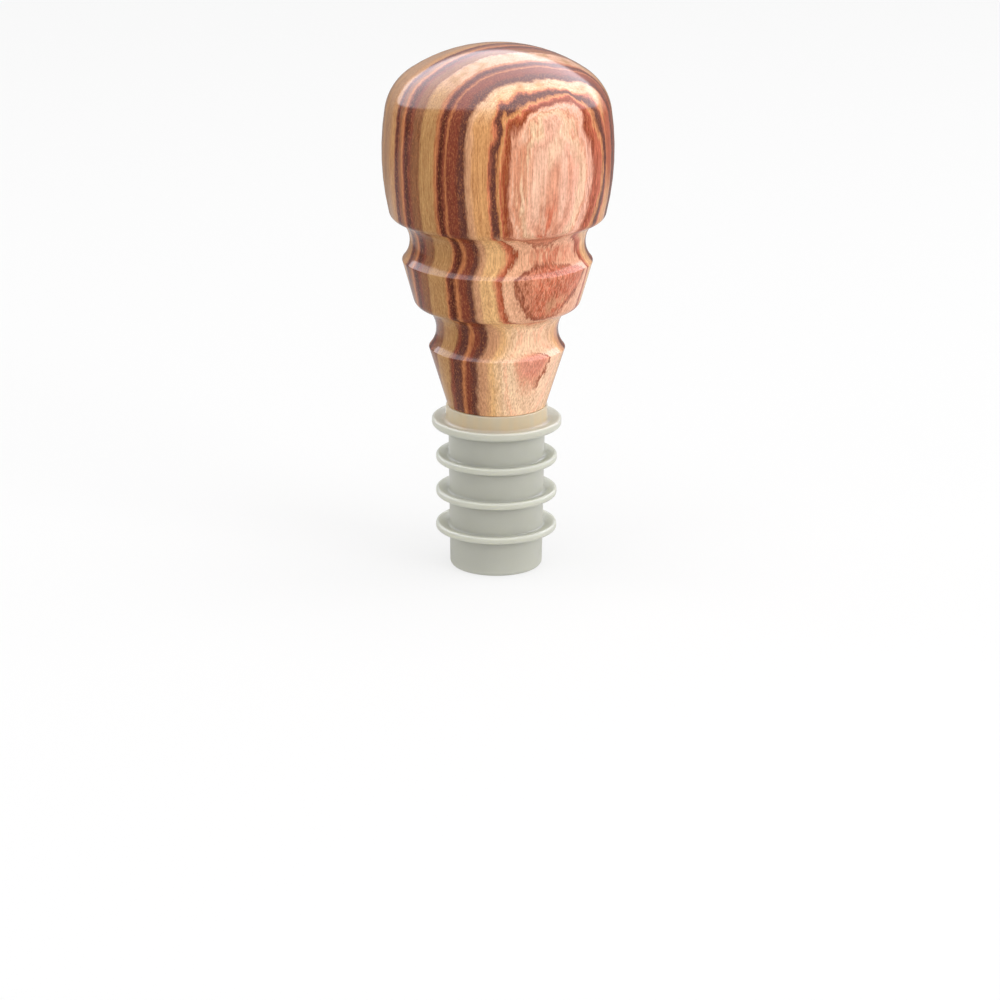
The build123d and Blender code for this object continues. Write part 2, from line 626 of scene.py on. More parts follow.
@dataclass(frozen=True)
class StripedWood:
    """Lacquered hardwood with dark and golden layers that were cut open by the turning.

    Attributes:
        name: the material's name.
        block: the bent layers.
        layers: the layers outside the heart, from the back to the front.
        hearts: the heart's layers, from the crown down to the foot.
        heart_start: where the heart's layers take over from the others.
        swell: how much nearer the innermost layers come in the crown.
        swell_layers: the positions between which that comes in.
        swell_heights: the heights between which that comes in.
        span: the least and the greatest position across the layers.
        layers_a_ramp: the most layers that one colour ramp holds.
        bends: the noises that make the layers wander, from the widest to the finest.
        arch: a wide noise that makes the layers in the crown wander further.
        arch_heights: the heights between which it comes in.
        arch_layers: the positions between which it grows to its full strength.
        arch_outside: its strength in the layers before those.
        marks: the streaks and patches, in the order that they are laid on; the last two are painted sheen
            that pales the bands over the crown.
        pink_side: the places across the heading between which the wood turns pinker.
        pinkness: how much each channel changes there.
        lamina: the size of the fine bands within a layer, in millimetres.
        lamina_amount: how strong they are.
        tints: the noises that lighten and darken the wood, with the fibres first.
        stain: how much each channel follows the bands and those noises.
        dust: the noise of the fine pale specks.
        dust_levels: its levels between which a speck comes in.
        dust_amount: the most of the specks' colour that is laid on.
        dust_tone: the specks' colour, where that is paler than the wood.
        pores: the open pores.
        roughness: how rough the wood under the lacquer is.
        fibre_roughness: how much that follows the fibres.
        fibre_relief: how high the fibres stand.
        pore_relief: how high the floor of a pore is, which lies below the rest.
        relief_depth: the real height of 1 in the relief, in millimetres.
        relief_strength: the share of the relief that is used.
        bare_gloss: the gloss of the wood under the lacquer.
        coat: how much of the lacquer's gloss lies over it.
        coat_roughness: how rough the lacquer is.
        coat_index: the lacquer's refractive index.
    """

    name: str = "striped_hardwood"
    block: LayerField = LayerField()
    layers: tuple[Layer, ...] = (
        Layer(-30.0, Tone.UMBER),
        Layer(-25.6, Tone.OCHRE, 0.8),
        Layer(-24.0, Tone.PLUM, 0.4),
        Layer(-23.2, Tone.AMBER, 0.3),
        Layer(-21.8, Tone.OLIVE, 0.8),
        Layer(-20.4, Tone.WINE, 0.4),
        Layer(-19.4, Tone.MAUVE, 0.4),
        Layer(-18.6, Tone.HONEY, 0.5),
        Layer(-17.2, Tone.AMBER, 0.5),
        Layer(-16.6, Tone.PLUM, 0.3),
        Layer(-15.8, Tone.OCHRE, 0.4),
        Layer(-13.2, Tone.UMBER, 0.9),
        Layer(-12.0, Tone.ASH, 0.6),
        Layer(-9.2, Tone.OCHRE, 1.2),
        Layer(-8.4, Tone.ASH, 0.8),
        Layer(-5.4, Tone.OCHRE, 1.4),
        Layer(-3.7, Tone.WINE, 0.3),
        Layer(-3.4, Tone.PLUM, 0.3),
        Layer(-2.65, Tone.WINE, 0.3),
        Layer(-2.3, Tone.UMBER, 0.3),
        Layer(-1.6, Tone.AMBER, 0.4),
        Layer(-0.9, Tone.WINE, 0.3),
        Layer(-0.5, Tone.PLUM, 0.3),
        Layer(0.5, Tone.WINE, 0.5),
        Layer(1.2, Tone.UMBER, 0.6),
        Layer(3.2, Tone.OLIVE, 0.5),
        Layer(6.4, Tone.AMBER, 0.4),
    )
    hearts: tuple[Heart, ...] = (
        Heart(FAR, 1.0, (
            Layer(5.0, Tone.OLIVE),
            Layer(6.2, Tone.AMBER, 0.4),
            Layer(6.75, Tone.WINE, 0.3),
            Layer(7.15, Tone.PLUM, 0.4),
            Layer(7.9, Tone.WINE, 0.3),
            Layer(8.25, Tone.AMBER, 0.25),
            Layer(8.6, Tone.WINE, 0.3),
            Layer(10.3, Tone.MAUVE, 0.6),
            Layer(11.5, Tone.TAN, 0.5),
            Layer(12.4, Tone.HONEY, 0.6),
            Layer(14.6, Tone.CORAL, 0.3),
            Layer(14.85, Tone.MAUVE, 0.2),
            Layer(15.6, Tone.AMBER, 0.15),
            Layer(15.75, Tone.HONEY, 0.15),
            Layer(16.0, Tone.CORAL, 0.2),
            Layer(16.2, Tone.RUSSET, 0.25),
            Layer(16.75, Tone.WINE, 0.15),
            Layer(16.9, Tone.SALMON, 0.15),
            Layer(17.15, Tone.BLUSH, 0.25),
            Layer(17.4, Tone.SALMON, 0.15),
            Layer(17.6, Tone.STRAW, 0.2),
            Layer(17.95, Tone.BLUSH, 0.3),
            Layer(18.15, Tone.ROSE, 0.2),
            Layer(18.3, Tone.BLUSH, 0.3),
        )),
        Heart(-11.0, 2.5, (
            Layer(5.0, Tone.OLIVE),
            Layer(6.6, Tone.AMBER, 0.4),
            Layer(6.95, Tone.WINE, 0.3),
            Layer(7.4, Tone.PLUM, 0.4),
            Layer(8.25, Tone.AMBER, 0.35),
            Layer(8.95, Tone.WINE, 0.4),
            Layer(10.2, Tone.MAUVE, 0.5),
            Layer(11.1, Tone.TAN, 0.5),
            Layer(12.1, Tone.WHEAT, 0.6),
            Layer(14.3, Tone.CORAL, 0.6),
            Layer(14.7, Tone.RUSSET, 0.15),
            Layer(15.0, Tone.PEACH, 0.2),
            Layer(16.05, Tone.RUSSET, 0.25),
            Layer(16.2, Tone.SALMON, 0.3),
        )),
        Heart(-27.0, 3.0, (
            Layer(5.0, Tone.OLIVE),
            Layer(6.2, Tone.WINE, 0.5),
            Layer(7.0, Tone.MAUVE, 0.5),
            Layer(8.35, Tone.AMBER, 0.35),
            Layer(9.0, Tone.WINE, 0.4),
            Layer(9.8, Tone.MAUVE, 0.5),
            Layer(10.8, Tone.TAN, 0.5),
            Layer(12.1, Tone.WHEAT, 0.8),
            Layer(12.9, Tone.STRAW, 1.2),
            Layer(13.6, Tone.PEACH, 0.15),
            Layer(13.75, Tone.STRAW, 0.15),
            Layer(14.55, Tone.SALMON, 0.5),
            Layer(14.8, Tone.ROSE, 0.4),
        )),
    )
    heart_start: float = 5.6
    swell: float = 0.75
    swell_layers: Range = (12.2, 13.6)
    swell_heights: Range = (5.0, 12.0)
    span: Range = (-30.0, 22.0)
    layers_a_ramp: int = 15
    bends: tuple[Grain, ...] = (
        Grain(6.0, 30.0, 0.5, 1.0),
        Grain(1.2, 16.0, 0.25),
        Grain(0.5, 4.0, 0.3),
        Grain(0.25, 0.9, 0.22),
    )
    arch: Grain = Grain(3.0, 5.0, 1.1, 1.0)
    arch_heights: Range = (1.0, 8.0)
    arch_layers: Range = (8.0, 13.0)
    arch_outside: float = 0.25
    marks: tuple[Mark, ...] = (
        # The oval on the head
        Mark(
            Tone.SALMON, 0.75, Grain(1.4, 14.0), across=2.0, reach=4.5, heights=(-11.8, 4.0), fade=4.0,
            layers=(16.9, FAR), lean=0.25,
        ),
        Mark(
            Tone.CORAL, 0.9, Grain(0.6, 12.0), across=1.7, reach=1.6, heights=(-11.8, -2.0), fade=6.0,
            layers=(16.9, FAR), lean=0.25, broken=(-0.1, 0.2),
        ),
        Mark(
            Tone.STRAW, 0.45, Grain(1.2, 8.0), across=-1.8, reach=2.2, heights=(0.0, 9.0), fade=3.0,
            layers=(16.9, FAR), lean=0.67,
        ),
        Mark(
            Tone.SALMON, 0.9, Grain(0.35, 12.0), across=-6.0, reach=3.5, heights=(-11.8, 7.0), fade=4.0,
            layers=(17.0, 18.4), lean=0.1, broken=(-0.2, 0.1),
        ),
        # The rings round the oval, and the head's right flank
        Mark(
            Tone.AMBER, 0.7, Grain(0.25, 9.0), across=-8.0, reach=9.0, heights=(-11.8, 10.0), fade=4.0,
            layers=(15.95, 16.8), broken=(-0.05, 0.2),
        ),
        Mark(
            Tone.RUSSET, 0.75, Grain(0.24, 16.0), across=9.5, reach=4.5, heights=(-11.8, 10.0), fade=5.0,
            layers=(15.6, 17.6), broken=(-0.1, 0.2),
        ),
        Mark(
            Tone.CORAL, 0.8, Grain(0.25, 14.0), across=10.0, reach=5.0, heights=(-11.8, 12.0), fade=5.0,
            layers=(15.9, 16.9), broken=(-0.05, 0.15),
        ),
        Mark(
            Tone.BRICK, 0.85, Grain(0.6, 8.0), across=14.2, reach=3.2, heights=(-8.0, 16.0), fade=4.0,
            layers=(11.0, 15.0), broken=(-0.6, -0.2), core=0.6, foot=8.0, edge=0.8,
        ),
        # The upper cove and the patch on the waist
        Mark(
            Tone.CORAL, 0.75, Grain(0.5, 2.0), across=2.5, reach=6.0, heights=(-16.5, -12.8), fade=1.0,
            layers=(13.0, FAR),
        ),
        Mark(
            Tone.CORAL, 0.85, Grain(0.3, 4.0), across=4.0, reach=7.0, heights=(-26.2, -12.5), fade=1.0,
            layers=(16.1, FAR), broken=(-0.15, 0.1), core=0.5,
        ),
        Mark(
            Tone.RUSSET, 0.6, Grain(0.28, 5.0), across=0.0, reach=7.5, heights=(-26.2, -12.5), fade=1.0,
            layers=(16.05, FAR), broken=(0.03, 0.23), core=0.5,
        ),
        Mark(
            Tone.WINE, 0.75, Grain(0.4, 5.0), across=-3.0, reach=6.0, heights=(-26.2, -12.5), fade=1.0,
            layers=(16.0, 16.5), broken=(-0.35, 0.05), core=0.5,
        ),
        Mark(
            Tone.TAN, 0.85, Grain(0.6, 3.0), across=4.2, reach=3.2, heights=(-26.4, -20.8), fade=2.0,
            layers=(16.25, FAR), broken=(-0.3, 0.0), core=0.6,
        ),
        Mark(
            Tone.MAUVE, 0.7, Grain(0.3, 8.0), across=7.5, reach=3.5, heights=(-26.2, -17.5), fade=1.0,
            layers=(16.0, 16.35), broken=(-0.4, 0.0), core=0.6,
        ),
        # The drop on the foot
        Mark(
            Tone.RUSSET, 0.85, Grain(0.5, 3.0), across=5.0, reach=4.0, heights=(-45.0, -28.0), fade=3.0,
            layers=(14.44, 14.7), broken=(-0.6, -0.3), core=0.5, edge=0.1,
        ),
        Mark(
            Tone.CORAL, 0.5, Grain(0.25, 7.0), across=2.0, reach=3.0, heights=(-45.0, -28.0), fade=3.0,
            layers=(14.65, FAR), broken=(-0.05, 0.2),
        ),
        # The bands over the crown, made paler towards the top as painted sheen
        Mark(
            Tone.BLUSH, 0.65, Grain(2.0, 5.0), across=0.0, reach=40.0, heights=(11.0, FAR), fade=1.0,
            layers=(2.8, 6.4), broken=(-0.5, 0.2), foot=4.0,
        ),
        Mark(
            Tone.STRAW, 0.65, Grain(2.0, 5.0), across=0.0, reach=40.0, heights=(7.0, FAR), fade=1.0,
            layers=(11.6, 14.5), broken=(-0.5, 0.2), foot=5.0,
        ),
    )
    pink_side: Range = (-6.0, 8.0)
    pinkness: Triple = (0.02, -0.02, 0.07)
    lamina: float = 0.5
    lamina_amount: float = 0.35
    tints: tuple[Grain, ...] = (Grain(0.2, 5.0, 0.6), Grain(0.2, 0.6, 0.36), Grain(2.0, 9.0, 0.2))
    stain: Triple = (0.75, 1.0, 1.1)
    dust: Grain = Grain(0.17, 0.5, detail=1.0)
    dust_levels: Range = (0.0, 0.4)
    dust_amount: float = 0.42
    dust_tone: Tone = Tone.AMBER
    pores: Pores = Pores()
    roughness: float = 0.42
    fibre_roughness: float = 0.2
    fibre_relief: float = 0.5
    pore_relief: float = -0.6
    relief_depth: float = 0.03
    relief_strength: float = 0.6
    bare_gloss: float = 0.05
    coat: float = 0.7
    coat_roughness: float = 0.12
    coat_index: float = 1.4

    def position(self, graph: Graph, place: Socket, height: Socket) -> Socket:
        """Work out a point's position across the layers as they wander.

        Args:
            graph: the material's nodes.
            place: the coordinate across, against and up the layers, in millimetres.
            height: the height above the head's middle, in millimetres.

        Returns:
            The position's socket, in millimetres.
        """
        smooth = self.block.position(graph, place)
        arch = graph.product(
            self.arch.draw(graph, place),
            graph.remap(height, *self.arch_heights),
            graph.remap(smooth, *self.arch_layers, self.arch_outside, 1.0),
        )
        bent = graph.total(smooth, arch, *(bend.draw(graph, place) for bend in self.bends))
        nearer = graph.product(
            graph.remap(bent, *self.swell_layers),
            graph.remap(height, *self.swell_heights, 0.0, self.swell),
        )
        return graph.total(bent, nearer)

    def ramp(self, graph: Graph, position: Socket, layers: tuple[Layer, ...]) -> Socket:
        """Colour a position across the layers.

        Args:
            graph: the material's nodes.
            position: the position's socket, in millimetres.
            layers: the layers, in order.

        Returns:
            The colour's socket.
        """
        low, high = self.span
        share = graph.math("DIVIDE", graph.math("SUBTRACT", position, low), high - low)
        result = None
        for first in range(0, len(layers), self.layers_a_ramp):
            group = layers[first:first + self.layers_a_ramp]
            before = layers[max(first - 1, 0)]
            made = graph.node("ValToRGB")
            graph.feed(made.inputs[0], share)
            stops = []
            for layer in group:
                stops.append((layer.start - layer.edge / 2, before.tone))
                stops.append((layer.start + layer.edge / 2, layer.tone))
                before = layer
            elements = made.color_ramp.elements
            while len(elements) < len(stops):
                elements.new(1.0)
            for element, (place, tone) in zip(elements, stops):
                element.position = (place - low) / (high - low)
                element.color = tone.linear
            if result is None:
                result = made.outputs["Color"]
            else:
                reached = graph.math("GREATER_THAN", position, group[0].start - group[0].edge / 2)
                result = graph.mix(reached, result, made.outputs["Color"])
        return result

    def figure(self, graph: Graph, position: Socket, height: Socket) -> Socket:
        """Colour all the layers, with the heart's own colours at each height.

        Args:
            graph: the material's nodes.
            position: the position across the layers, in millimetres.
            height: the height above the head's middle, in millimetres.

        Returns:
            The colour's socket.
        """
        heart = None
        for stretch in self.hearts:
            cut = self.ramp(graph, position, stretch.layers)
            half = stretch.blend / 2
            below = graph.remap(height, stretch.ceiling + half, stretch.ceiling - half)
            heart = cut if heart is None else graph.mix(below, heart, cut)
        outer = self.ramp(graph, position, self.layers)
        return graph.mix(graph.math("GREATER_THAN", position, self.heart_start), outer, heart)

    def specked(self, graph: Graph, wood: Socket, place: Socket, pore: Socket) -> Socket:
        """Scatter pale specks and dark pores over the wood.

        Args:
            graph: the material's nodes.
            wood: the colour so far.
            place: the coordinate across, against and up the layers, in millimetres.
            pore: how deep in a pore a point lies.

        Returns:
            The new colour's socket.
        """
        dust = graph.remap(self.dust.draw(graph, place), *self.dust_levels, 0.0, self.dust_amount)
        wood = graph.mix(dust, wood, self.dust_tone.linear, "LIGHTEN")
        return graph.mix(graph.math("MULTIPLY", pore, self.pores.amount), wood, self.pores.tone.linear)

    def material(self) -> bpy.types.Material:
        """Build the wood.

        Returns:
            The material.
        """
        material, graph, shader = new_material(self.name)
        place = self.block.coordinate(graph)
        across, _, height = graph.split(place)
        position = self.position(graph, place, height)
        wood = self.figure(graph, position, height)
        for mark in self.marks:
            wood = graph.mix(mark.share(graph, place, position), wood, mark.tone.linear)
        wood = graph.tint(wood, graph.remap(across, *self.pink_side), self.pinkness)

        fibre, *others = [tint.draw(graph, place) for tint in self.tints]
        lamina = graph.math("MULTIPLY", graph.line_noise(position, self.lamina), self.lamina_amount)
        wood = graph.tint(wood, graph.total(lamina, fibre, *others), self.stain)
        pore = self.pores.draw(graph, place)
        relief = graph.total(
            graph.math("MULTIPLY", fibre, self.fibre_relief),
            graph.math("MULTIPLY", pore, self.pore_relief),
        )
        graph.feed_all(shader, {
            "Base Color": self.specked(graph, wood, place, pore),
            "Roughness": graph.math("MULTIPLY_ADD", fibre, self.fibre_roughness, self.roughness),
            "Normal": graph.bump(relief, self.relief_depth, self.relief_strength),
            "Specular IOR Level": self.bare_gloss,
            "Coat Weight": self.coat,
            "Coat Roughness": self.coat_roughness,
            "Coat IOR": self.coat_index,
        })
        return material


@dataclass(frozen=True)
class MilkySilicone:
    """Translucent moulded silicone, with the wood inside warming its neck.

    Attributes:
        name: the material's name.
        milk: the silicone's colour.
        warm: its colour where wood shows through.
        neck_heights: the heights between which the wood comes into view, in millimetres.
        neck_radii: the radii between which it does so, from the flange inwards, in millimetres.
        streak: the noise along the neck that the wood shows as.
        seen: how much of the wood's colour shows where that noise is 0.
        cloud: the noise that clouds the milk.
        skin: the noise of the moulded skin.
        roughness: how rough the skin is.
        skin_roughness: how much that follows the skin's noise.
        skin_depth: the real height of 1 in the skin's noise, in millimetres.
        skin_strength: the share of that height that is used.
        index: the refractive index.
        scatter: the share of the light that is scattered inside.
        scatter_shares: how far each channel gets, as shares of the depth.
        scatter_depth: how far the light gets, in millimetres.
    """

    name: str = "milky_silicone"
    milk: Colour = colour(193, 193, 183)
    warm: Colour = colour(214, 194, 161)
    neck_heights: Range = (24.9, 25.9)
    neck_radii: Range = (9.6, 8.6)
    streak: Grain = Grain(1.6, 30.0, 0.5)
    seen: float = 0.8
    cloud: Grain = Grain(5.0, 5.0, 0.05)
    skin: Grain = Grain(0.25, 0.25)
    roughness: float = 0.36
    skin_roughness: float = 0.06
    skin_depth: float = 0.01
    skin_strength: float = 0.4
    index: float = 1.41
    scatter: float = 1.0
    scatter_shares: Triple = (1.0, 1.0, 0.85)
    scatter_depth: float = 2.5

    def wood_seen(self, graph: Graph, place: Socket) -> Socket:
        """Work out how much of the wood inside shows at a point.

        Args:
            graph: the material's nodes.
            place: the coordinate, in millimetres.

        Returns:
            The share's socket.
        """
        right, back, up = graph.split(place)
        radius = graph.math("SQRT", graph.total(graph.product(right, right), graph.product(back, back)))
        neck = graph.product(graph.remap(up, *self.neck_heights), graph.remap(radius, *self.neck_radii))
        streak = graph.total(self.streak.draw(graph, place), self.seen)
        return graph.math("MULTIPLY", neck, streak, clamp=True)

    def material(self) -> bpy.types.Material:
        """Build the silicone.

        Returns:
            The material.
        """
        material, graph, shader = new_material(self.name)
        place = graph.millimetres()
        milk = graph.tint(self.milk, self.cloud.draw(graph, place))
        skin = self.skin.draw(graph, place)
        graph.feed_all(shader, {
            "Base Color": graph.mix(self.wood_seen(graph, place), milk, self.warm),
            "Roughness": graph.math("MULTIPLY_ADD", skin, self.skin_roughness, self.roughness),
            "Normal": graph.bump(skin, self.skin_depth, self.skin_strength),
            "IOR": self.index,
            "Subsurface Weight": self.scatter,
            "Subsurface Radius": self.scatter_shares,
            "Subsurface Scale": self.scatter_depth * MM,
        })
        return material


@dataclass(frozen=True)
class BareDowel:
    """Plain pale dowel wood with short flecks, and no lacquer.

    Attributes:
        name: the material's name.
        pale: the wood's lighter colour.
        dark: its darker grain.
        grain: the noise of the grain.
        grain_amount: how much of the darker colour follows the grain.
        grain_level: how much of it there is where that noise is 0.
        fleck: the noise of the flecks.
        fleck_levels: its levels between which a fleck comes in.
        fleck_amount: the most of the darker colour in a fleck.
        roughness: how rough the wood is.
        grain_roughness: how much that follows the grain.
        relief_depth: the real height of 1 in the grain, in millimetres.
        relief_strength: the share of that height that is used.
    """

    name: str = "bare_dowel_wood"
    pale: Colour = colour(214, 176, 130)
    dark: Colour = colour(176, 130, 88)
    grain: Grain = Grain(0.7, 14.0, detail=3.0)
    grain_amount: float = 0.8
    grain_level: float = 0.4
    fleck: Grain = Grain(0.3, 1.6, detail=1.0)
    fleck_levels: Range = (0.25, 0.5)
    fleck_amount: float = 0.5
    roughness: float = 0.62
    grain_roughness: float = 0.1
    relief_depth: float = 0.05
    relief_strength: float = 0.6

    def material(self) -> bpy.types.Material:
        """Build the dowel's wood.

        Returns:
            The material.
        """
        material, graph, shader = new_material(self.name)
        place = graph.millimetres()
        grain = self.grain.draw(graph, place)
        share = graph.math("MULTIPLY_ADD", grain, self.grain_amount, self.grain_level, clamp=True)
        fleck = graph.remap(self.fleck.draw(graph, place), *self.fleck_levels, 0.0, self.fleck_amount)
        graph.feed_all(shader, {
            "Base Color": graph.mix(fleck, graph.mix(share, self.pale, self.dark), self.dark),
            "Roughness": graph.math("MULTIPLY_ADD", grain, self.grain_roughness, self.roughness),
            "Normal": graph.bump(grain, self.relief_depth, self.relief_strength),
        })
        return material


def point(radius: float, height: float) -> Vector:
    """A point of a half profile: radius across and height up."""
    return Vector((radius, height))


@dataclass
class Straight:
    """A straight stroke of an outline.

    Attributes:
        start: its first point.
        end: its last point.
    """

    start: Vector
    end: Vector

    def leaving(self) -> Vector:
        """The direction at the stroke's start."""
        return (self.end - self.start).normalized()

    def arriving(self) -> Vector:
        """The direction at the stroke's end."""
        return self.leaving()

    def side(self, place: Vector) -> tuple[float, Vector]:
        """A place's signed distance from the stroke's line, and the way that it grows."""
        normal = self.leaving().orthogonal()
        return normal.dot(place - self.start), normal

    def draw(self, shape: bmesh.types.BMesh, pen: bmesh.types.BMVert) -> bmesh.types.BMVert:
        """Pull the pen's vertex along the stroke.

        Args:
            shape: the mesh that is drawn in.
            pen: the vertex at the stroke's start.

        Returns:
            The vertex at the stroke's end.
        """
        pen = bmesh.ops.extrude_vert_indiv(shape, verts=[pen])["verts"][0]
        pen.co = self.end.x, 0.0, self.end.y
        return pen


@dataclass
class Curved:
    """A stroke of an outline that follows a circle, by less than half a turn.

    Attributes:
        start: its first point.
        end: its last point.
        centre: the circle's centre.
        step: the widest angle of one facet, in radians.
        fewest: the fewest facets.
    """

    start: Vector
    end: Vector
    centre: Vector
    step: float = math.radians(4.0)
    fewest: int = 5

    def sweep(self) -> float:
        """The angle that the stroke turns about its centre, positive anticlockwise."""
        return -(self.start - self.centre).angle_signed(self.end - self.centre)

    def heading(self, place: Vector) -> Vector:
        """The direction of travel at a place on the circle."""
        return math.copysign(1.0, self.sweep()) * (place - self.centre).orthogonal().normalized()

    def leaving(self) -> Vector:
        """The direction at the stroke's start."""
        return self.heading(self.start)

    def arriving(self) -> Vector:
        """The direction at the stroke's end."""
        return self.heading(self.end)

    def side(self, place: Vector) -> tuple[float, Vector]:
        """A place's signed distance from the circle, and the way that it grows."""
        offset = place - self.centre
        return offset.length - (self.start - self.centre).length, offset.normalized()

    def draw(self, shape: bmesh.types.BMesh, pen: bmesh.types.BMVert) -> bmesh.types.BMVert:
        """Spin the pen's vertex along the stroke.

        Args:
            shape: the mesh that is drawn in.
            pen: the vertex at the stroke's start.

        Returns:
            The vertex at the stroke's end.
        """
        sweep = self.sweep()
        steps = max(self.fewest, math.ceil(abs(sweep) / self.step))
        spun = bmesh.ops.spin(
            shape, geom=[pen], cent=(self.centre.x, 0.0, self.centre.y), axis=(0.0, -1.0, 0.0),
            angle=sweep, steps=steps,
        )
        return next(item for item in spun["geom_last"] if isinstance(item, bmesh.types.BMVert))


Stroke = Union[Straight, Curved]


def through(start: Vector, middle: Vector, end: Vector) -> Curved:
    """The circular stroke through three points.

    Args:
        start: its first point.
        middle: a point between.
        end: its last point.

    Returns:
        The stroke.
    """
    first, second = middle - start, end - start
    area = 2 * first.cross(second)
    reach = first.orthogonal() * second.length_squared - second.orthogonal() * first.length_squared
    return Curved(start, end, start + reach / area)


def cove(lower: Vector, upper: Vector, depth: float) -> Curved:
    """A hollow between two points of the outline, this deep at its middle."""
    return through(lower, (lower + upper) / 2 - point(depth, 0.0), upper)


def rounding(before: Stroke, after: Stroke, radius: float) -> Curved:
    """Shorten two strokes that meet at a corner, to make room for an arc between them.

    Args:
        before: the stroke that ends at the corner.
        after: the stroke that starts there.
        radius: the arc's radius.

    Returns:
        The arc.
    """
    inward = (after.leaving() - before.arriving()).normalized()
    centre = before.end + inward * radius
    first_side = math.copysign(radius, before.side(before.end)[1].dot(inward))
    second_side = math.copysign(radius, after.side(after.start)[1].dot(inward))
    for _ in range(SEARCH_STEPS):
        first, first_way = before.side(centre)
        second, second_way = after.side(centre)
        turn = Matrix((first_way, second_way)).inverted()
        centre = centre + turn @ Vector((first_side - first, second_side - second))
    first, first_way = before.side(centre)
    second, second_way = after.side(centre)
    before.end = centre - first_way * first
    after.start = centre - second_way * second
    return Curved(before.end, after.start, centre)


def add_object(name: str, data: bpy.types.ID) -> bpy.types.Object:
    """Put a mesh, a lamp or a camera into the scene.

    Args:
        name: the new object's name.
        data: what it holds.

    Returns:
        The new object.
    """
    made = bpy.data.objects.new(name, data)
    bpy.context.scene.collection.objects.link(made)
    return made


def add_mesh(name: str, shape: bmesh.types.BMesh) -> bpy.types.Object:
    """Put a finished shape into the scene and free it.

    Args:
        name: the new object's name.
        shape: the shape, in metres.

    Returns:
        The new object.
    """
    mesh = bpy.data.meshes.new(name)
    shape.to_mesh(mesh)
    shape.free()
    return add_object(name, mesh)


@dataclass
class Outline:
    """A half profile, drawn stroke by stroke and then spun into a turned solid.

    Attributes:
        start: the first point, on the axis.
        strokes: what has been drawn so far.
    """

    start: Vector
    strokes: list[Stroke] = field(default_factory=list)

    @property
    def pen(self) -> Vector:
        """The last point."""
        return self.strokes[-1].end if self.strokes else self.start

    def add(self, stroke: Stroke, corner: float = 0.0) -> "Outline":
        """Add a stroke.

        Args:
            stroke: the stroke, which starts at the pen.
            corner: the radius of the corner that it starts with, if it isn't sharp.

        Returns:
            This outline.
        """
        if corner:
            self.strokes.append(rounding(self.strokes[-1], stroke, corner))
        self.strokes.append(stroke)
        return self

    def to(self, radius: float, height: float, corner: float = 0.0) -> "Outline":
        """Add a straight stroke to a point, starting with a rounded or sharp corner."""
        return self.add(Straight(self.pen, point(radius, height)), corner)

    def spin(self, name: str, segments: int, sharp: float) -> bpy.types.Object:
        """Turn the profile round the axis.

        Args:
            name: the new object's name.
            segments: the steps of a full turn.
            sharp: the angle from which an edge is shaded as sharp, in degrees.

        Returns:
            The turned object, in metres.
        """
        shape = bmesh.new()
        pen = shape.verts.new((self.start.x, 0.0, self.start.y))
        for stroke in self.strokes:
            pen = stroke.draw(shape, pen)
        bmesh.ops.spin(
            shape, geom=shape.verts[:] + shape.edges[:], cent=(0.0, 0.0, 0.0), axis=(0.0, 0.0, 1.0),
            angle=math.tau, steps=segments, use_merge=True,
        )
        bmesh.ops.remove_doubles(shape, verts=shape.verts, dist=MM)
        bmesh.ops.recalc_face_normals(shape, faces=shape.faces)
        bmesh.ops.scale(shape, vec=(MM, MM, MM), verts=shape.verts)
        for face in shape.faces:
            face.smooth = True
        for edge in shape.edges:
            edge.smooth = edge.calc_face_angle(0.0) < math.radians(sharp)
        return add_mesh(name, shape)


def seat(piece: bpy.types.Object, node: str, material: bpy.types.Material) -> None:
    """Put a finished piece in place of a node of the frame.

    Args:
        piece: the finished piece.
        node: the node that it stands for.
        material: its finish.
    """
    piece.data.materials.append(material)
    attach(piece, BODY)
    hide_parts(node)


